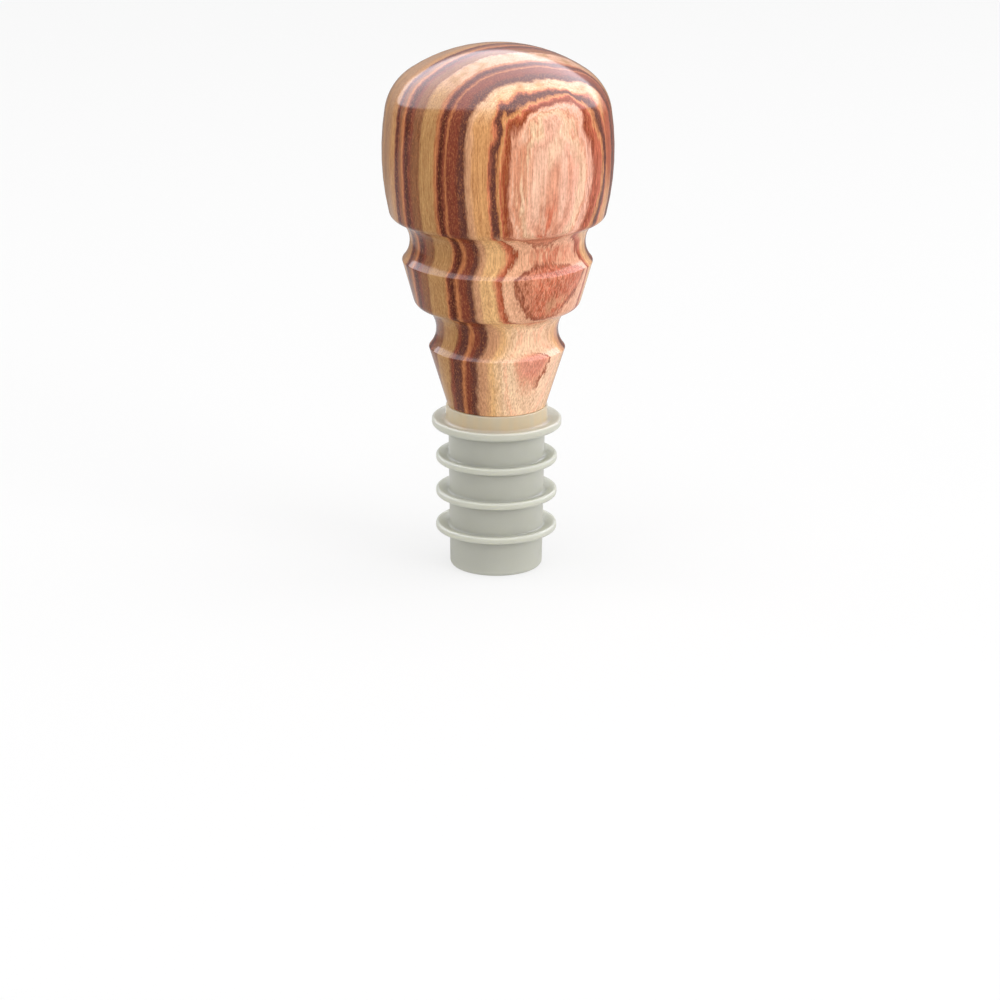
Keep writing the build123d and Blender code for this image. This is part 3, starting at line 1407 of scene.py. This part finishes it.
@dataclass
class TurnedTop:
    """The turned hardwood top: a domed head, a waist and a foot, with two coves between them.

    Its lengths run in order from the foot to the crown. The widest radius and the heights of the foot and
    the crown come from the frame. A full turn has as many segments as given, and an edge is shaded as sharp
    from the angle given, in degrees.
    """

    node: str = "turned_top"
    foot_radius: float = 8.2
    foot_round: float = 0.3
    foot_length: float = 9.95
    foot_flare: float = 3.1
    lower_cove_depth: float = 1.5
    lower_cove_length: float = 6.85
    waist_radius: float = 15.7
    waist_taper: float = 2.25
    waist_lip: float = 1.55
    waist_round: float = 1.9
    waist_length: float = 8.0
    upper_cove_depth: float = 1.55
    upper_cove_length: float = 6.95
    head_base_inset: float = 1.45
    head_lip: float = 1.25
    head_base_round: float = 1.45
    head_base_to_widest: float = 11.3
    widest_to_shoulder: float = 10.35
    shoulder_inset: float = 1.25
    shoulder_round: float = 8.8
    ridge_round: float = 0.25
    bore_radius: float = 4.8
    bore_depth: float = 15.5
    segments: int = 192
    sharp: float = 40.0
    finish: StripedWood = StripedWood()

    def outline(self) -> Outline:
        """Draw the top's half profile, from the floor of its bore to its crown.

        Returns:
            The outline.
        """
        low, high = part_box(self.node)
        foot, crown, head_radius = low.z / MM, high.z / MM, high.x / MM
        foot_ridge = foot + self.foot_length
        waist_base = foot_ridge + self.lower_cove_length
        waist_ridge = waist_base + self.waist_length
        head_base = waist_ridge + self.upper_cove_length
        widest = head_base + self.head_base_to_widest
        waist_foot = self.waist_radius - self.waist_taper
        head_foot = head_radius - self.head_base_inset
        waist_under = point(waist_foot - self.waist_lip, waist_base)
        head_under = point(head_foot - self.head_lip, head_base)
        shoulder = point(head_radius - self.shoulder_inset, widest + self.widest_to_shoulder)
        crown_radius = (shoulder.x ** 2 + (crown - shoulder.y) ** 2) / (2 * (crown - shoulder.y))

        drawn = Outline(point(0.0, foot + self.bore_depth))
        drawn.to(self.bore_radius, foot + self.bore_depth).to(self.bore_radius, foot)
        drawn.to(self.foot_radius, foot)
        drawn.to(self.foot_radius + self.foot_flare, foot_ridge, self.foot_round)
        drawn.add(cove(drawn.pen, waist_under, self.lower_cove_depth), self.ridge_round)
        drawn.to(waist_foot, waist_base).to(self.waist_radius, waist_ridge, self.waist_round)
        drawn.add(cove(drawn.pen, head_under, self.upper_cove_depth), self.ridge_round)
        drawn.to(head_foot, head_base)
        drawn.add(through(drawn.pen, point(head_radius, widest), shoulder), self.head_base_round)
        crown_centre = point(0.0, crown - crown_radius)
        drawn.add(Curved(drawn.pen, point(0.0, crown), crown_centre), self.shoulder_round)
        return drawn

    def build(self) -> bpy.types.Object:
        """Spin the top and lacquer it.

        Returns:
            The finished top.
        """
        piece = self.outline().spin("lacquered_top", self.segments, self.sharp)
        seat(piece, self.node, self.finish.material())
        return piece


@dataclass
class SiliconePlug:
    """The moulded plug: a neck, a dished flange, and a tapered core with sealing fins.

    Its lengths run in order from the neck to the flat end, and its height comes from the frame. A full turn
    has as many segments as given, and an edge is shaded as sharp from the angle given, in degrees.
    """

    node: str = "silicone_plug"
    neck_radius: float = 8.45
    neck_height: float = 2.8
    neck_round: float = 0.15
    flange_width: float = 2.35
    flange_thickness: float = 1.4
    flange_top_round: float = 0.35
    flange_under_round: float = 0.6
    flange_root_round: float = 0.5
    dish: float = math.tan(math.radians(17.0))
    core_inset: float = 0.35
    core_taper: float = 0.4
    end_round: float = 0.8
    fin_count: int = 3
    fin_width: float = 2.0
    fin_thickness: float = 1.2
    fin_round: float = 0.4
    fin_root_round: float = 0.35
    flange_to_fin: float = 6.2
    fin_pitch: float = 6.0
    socket_radius: float = 4.8
    socket_depth: float = 15.5
    segments: int = 160
    sharp: float = 40.0
    finish: MilkySilicone = MilkySilicone()

    def core_radius(self, height: float, plug_height: float) -> float:
        """The radius of the tapered core at a height above the flat end."""
        return self.neck_radius - self.core_inset - self.core_taper * (plug_height - height) / plug_height

    def ring(
        self, drawn: Outline, root: float, rim: float, thickness: float, rounds: Triple, foot: float
    ) -> None:
        """Draw a disc that rises outwards, down to the end of its underside.

        Args:
            drawn: the outline, whose pen is at the root of the disc's top.
            root: the radius at that root.
            rim: the radius at the rim.
            thickness: the disc's thickness.
            rounds: the radii of the root's, the rim's top and the rim's under corners.
            foot: the radius where the underside ends.
        """
        top = drawn.pen.y
        rim_top = top + (rim - root) * self.dish
        drawn.to(rim, rim_top, rounds[0])
        drawn.to(rim, rim_top - thickness, rounds[1])
        drawn.to(foot, top - thickness - (root - foot) * self.dish, rounds[2])

    def outline(self) -> Outline:
        """Draw the plug's half profile, from the floor of its socket to its flat end.

        Returns:
            The outline.
        """
        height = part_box(self.node)[1].z / MM
        flange = height - self.neck_height
        drawn = Outline(point(0.0, height - self.socket_depth))
        drawn.to(self.socket_radius, drawn.pen.y).to(self.socket_radius, height)
        drawn.to(self.neck_radius, height)
        drawn.to(self.neck_radius, flange, self.neck_round)
        self.ring(
            drawn, self.neck_radius, self.neck_radius + self.flange_width, self.flange_thickness,
            (self.flange_root_round, self.flange_top_round, self.flange_under_round),
            self.core_radius(flange - self.flange_thickness, height),
        )
        for place in range(self.fin_count):
            top = flange - self.flange_to_fin - self.fin_pitch * place
            root = self.core_radius(top, height)
            drawn.to(root, top, self.fin_root_round)
            self.ring(
                drawn, root, self.neck_radius - self.core_inset + self.fin_width, self.fin_thickness,
                (self.fin_root_round, self.fin_round, self.fin_round), root,
            )
        drawn.to(self.core_radius(0.0, height), 0.0, self.fin_root_round)
        drawn.to(0.0, 0.0, self.end_round)
        return drawn

    def build(self) -> bpy.types.Object:
        """Spin the plug and give it its finish.

        Returns:
            The finished plug.
        """
        piece = self.outline().spin("moulded_plug", self.segments, self.sharp)
        seat(piece, self.node, self.finish.material())
        return piece


@dataclass
class DowelPin:
    """The plain dowel inside, which keeps its shape from the frame.

    Attributes:
        node: the frame's node.
        finish: its wood.
    """

    node: str = "dowel_pin"
    finish: BareDowel = BareDowel()

    def build(self) -> bpy.types.Object:
        """Give the dowel its finish.

        Returns:
            The dowel.
        """
        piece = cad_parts[self.node]
        piece.data.materials.clear()
        piece.data.materials.append(self.finish.material())
        return piece


class Lit(Enum):
    """What a lamp reaches."""

    BODY = "body colour only"
    GLOSS = "gloss only"


@dataclass(frozen=True)
class Softbox:
    """A rectangular studio lamp.

    Attributes:
        name: the lamp's name.
        place: where its middle is, in metres.
        target: the point that it faces, in metres.
        size: its width and height, in metres.
        radiance: how bright its face is, where 1 is white.
        tint: its colour.
        reach: what it lights.
    """

    name: str
    place: Triple
    target: Triple
    size: Range
    radiance: float
    tint: Triple = (1.0, 1.0, 1.0)
    reach: Lit = Lit.BODY

    def build(self) -> bpy.types.Object:
        """Hang the lamp.

        Returns:
            The lamp's object.
        """
        lamp = bpy.data.lights.new(self.name, "AREA")
        lamp.shape = "RECTANGLE"
        lamp.size, lamp.size_y = self.size
        lamp.energy = self.radiance * math.pi * self.size[0] * self.size[1]
        lamp.color = self.tint
        hung = add_object(self.name, lamp)
        hung.location = self.place
        hung.rotation_euler = (Vector(self.target) - Vector(self.place)).to_track_quat("-Z", "Y").to_euler()
        hung.visible_camera = False
        hung.visible_diffuse = self.reach is Lit.BODY
        hung.visible_glossy = self.reach is Lit.GLOSS
        return hung


@dataclass(frozen=True)
class SheenBox(Softbox):
    """A very wide softbox overhead, whose front and back edges bow back at the two ends and fade out.

    Attributes:
        front_bow: how far the front edge bends back at its ends, as a share of the lamp's depth.
        back: where the middle of the back edge is, as a share of the lamp's depth.
        back_bow: how far the back edge bends back at its ends.
        feather: the width of an edge's fade.
    """

    front_bow: float = 0.97
    back: float = 0.65
    back_bow: float = 0.62
    feather: float = 0.07

    def build(self) -> bpy.types.Object:
        """Hang the lamp and shape its front and back edges.

        Returns:
            The lamp's object.
        """
        hung = super().build()
        hung.data.use_nodes = True
        graph = Graph(hung.data.node_tree)
        emission = graph.surface("Emission", "OutputLight")
        wide, deep, _ = graph.split(graph.node("NewGeometry").outputs["Parametric"])
        aside = graph.math("MULTIPLY_ADD", wide, 2.0, -1.0)
        bow = graph.product(aside, aside)
        front = graph.math("MULTIPLY_ADD", bow, -self.front_bow, deep)
        back = graph.math("MULTIPLY_ADD", bow, -self.back_bow, deep)
        lit = graph.product(
            graph.remap(front, 0.0, self.feather),
            graph.remap(back, self.back, self.back - self.feather),
        )
        graph.feed(emission.inputs["Strength"], lit)
        return hung


@dataclass
class Studio:
    """The pale floor, the soft lights, the white surround and the camera.

    Attributes:
        floor_half: half the floor's width, in metres.
        floor_albedo: how much of the lamps' light the floor gives back.
        floor_roughness: how rough the floor is.
        floor_bounce: how much it glows towards the object.
        floor_glow: how much it glows to the eye, near the object.
        far_glow: how much it glows to the eye, far from it.
        far: the distances between which the one goes over into the other, in metres.
        floor_mirrored: how bright the floor is where it is mirrored.
        strip_mirrored: how bright a strip behind the object is where it is mirrored.
        strip_near: the places along Y between which that strip comes in, in metres.
        strip_far: the places along Y between which it goes out again, the farther one first.
        surround: how much the white surround lights the object.
        surround_seen: how bright it is to the eye, where 1 is white.
        surround_mirrored: how bright it is where it is mirrored.
        lamps: the lamps.
        image_pixels: the picture's width, in pixels.
        focal_pixels: the lens's focal length, in pixels.
        sensor: the sensor's width, in millimetres.
        camera_distance: how far the camera is from the point that it aims at, in millimetres.
        camera_elevation: how far above level it stands, in degrees.
        camera_roll: how far it is rolled, in degrees.
        aim_height: the height of the point that it aims at, in millimetres.
        aim_right: how far to the right that point is, in millimetres.
    """

    floor_half: float = 15.0
    floor_albedo: float = 0.25
    floor_roughness: float = 0.9
    floor_bounce: float = 0.45
    floor_glow: float = 0.7
    far_glow: float = 0.84
    far: Range = (0.9, 1.9)
    floor_mirrored: float = 0.03
    strip_mirrored: float = 0.45
    strip_near: Range = (-0.02, 0.06)
    strip_far: Range = (0.2, 0.16)
    surround: float = 0.6
    surround_seen: float = 1.0
    surround_mirrored: float = 0.4
    lamps: tuple[Softbox, ...] = (
        Softbox("top_softbox", (0.1, -0.15, 1.0), (0.0, 0.0, 0.05), (1.1, 0.9), 1.6),
        Softbox("right_softbox", (1.1, -0.85, 0.55), (0.0, 0.0, 0.06), (0.8, 0.8), 3.8),
        Softbox("right_rim", (1.2, 0.3, 0.4), (0.0, 0.0, 0.06), (0.8, 0.8), 1.6),
        Softbox("left_fill", (-1.1, -0.9, 0.4), (0.0, 0.0, 0.06), (0.8, 0.8), 1.2),
        Softbox("left_rim", (-1.2, 0.3, 0.4), (0.0, 0.0, 0.06), (0.8, 0.8), 1.2),
        SheenBox(
            "top_sheen", (0.0, 0.87, 0.69), (0.0, 0.87, 0.0), (6.0, 2.94), 4.8,
            tint=(0.88, 0.9, 1.0), reach=Lit.GLOSS,
        ),
    )
    image_pixels: float = 1000.0
    focal_pixels: float = 3600.0
    sensor: float = 36.0
    camera_distance: float = 604.77
    camera_elevation: float = 17.82
    camera_roll: float = 0.3
    aim_height: float = 11.04
    aim_right: float = 0.62

    def white_to_eye(self, graph: Graph, plain: float, seen: Value, mirrored: Value) -> Socket:
        """One strength for lighting, and others where the surround itself is seen.

        Args:
            graph: the nodes of the world or of a material.
            plain: the strength that lights the object.
            seen: the strength that the camera sees directly.
            mirrored: the strength that is seen mirrored, or through a clear surface.

        Returns:
            The strength's socket.
        """
        path = graph.node("LightPath")
        indirect = graph.math("MAXIMUM", path.outputs["Is Glossy Ray"], path.outputs["Is Transmission Ray"])
        brighter = graph.math("SUBTRACT", seen, plain)
        strength = graph.math("MULTIPLY_ADD", path.outputs["Is Camera Ray"], brighter, plain)
        return graph.math("MULTIPLY_ADD", indirect, graph.math("SUBTRACT", mirrored, plain), strength)

    def lay_floor(self) -> None:
        """Lay the pale floor that the plug stands on."""
        shape = bmesh.new()
        bmesh.ops.create_grid(shape, x_segments=1, y_segments=1, size=self.floor_half)
        floor = add_mesh("studio_floor", shape)
        material, graph, shader = new_material("pale_floor")
        place = graph.node("TexCoord").outputs["Object"]
        away = graph.node("VectorMath", operation="LENGTH")
        graph.feed(away.inputs[0], place)
        seen = graph.remap(away.outputs["Value"], *self.far, self.floor_glow, self.far_glow)
        _, back, _ = graph.split(place)
        strip = graph.product(graph.remap(back, *self.strip_near), graph.remap(back, *self.strip_far))
        brighter = self.strip_mirrored - self.floor_mirrored
        mirrored = graph.math("MULTIPLY_ADD", strip, brighter, self.floor_mirrored)
        graph.feed_all(shader, {
            "Base Color": (self.floor_albedo,) * 3 + (1.0,),
            "Roughness": self.floor_roughness,
            "Specular IOR Level": 0.0,
            "Emission Color": WHITE,
            "Emission Strength": self.white_to_eye(graph, self.floor_bounce, seen, mirrored),
        })
        floor.data.materials.append(material)

    def light(self) -> None:
        """Hang the lamps and set the white surround."""
        for lamp in self.lamps:
            lamp.build()
        world = bpy.data.worlds.new("white_surround")
        world.use_nodes = True
        bpy.context.scene.world = world
        graph = Graph(world.node_tree)
        strength = self.white_to_eye(graph, self.surround, self.surround_seen, self.surround_mirrored)
        background = graph.surface("Background", "OutputWorld")
        graph.feed_all(background, {"Color": WHITE, "Strength": strength})

    def aim_camera(self) -> None:
        """Set the camera up at the photograph's distance, height and slight roll."""
        data = bpy.data.cameras.new("camera")
        data.sensor_width = self.sensor
        data.lens = self.focal_pixels / self.image_pixels * self.sensor
        camera = add_object("camera", data)
        rise = math.radians(self.camera_elevation)
        target = Vector((self.aim_right, 0.0, self.aim_height)) * MM
        back = Vector((0.0, -math.cos(rise), math.sin(rise)))
        camera.location = target + back * self.camera_distance * MM
        roll = Quaternion((0.0, 0.0, 1.0), math.radians(self.camera_roll))
        camera.rotation_euler = ((-back).to_track_quat("-Z", "Y") @ roll).to_euler()
        bpy.context.scene.camera = camera

    def build(self) -> None:
        """Set up the whole studio."""
        self.lay_floor()
        self.light()
        self.aim_camera()
        bpy.context.scene.view_settings.view_transform = "Standard"


def main() -> None:
    """Build and dress each piece, then the studio round them."""
    logging.basicConfig(level=logging.INFO, format="%(name)s %(message)s")
    for assembly in (TurnedTop(), SiliconePlug(), DowelPin()):
        piece = assembly.build()
        size = piece.dimensions / MM
        log.info("%s: %d faces, %.1f x %.1f x %.1f mm", piece.name, len(piece.data.polygons), *size)
    Studio().build()


if __name__ == "__main__":
    main()
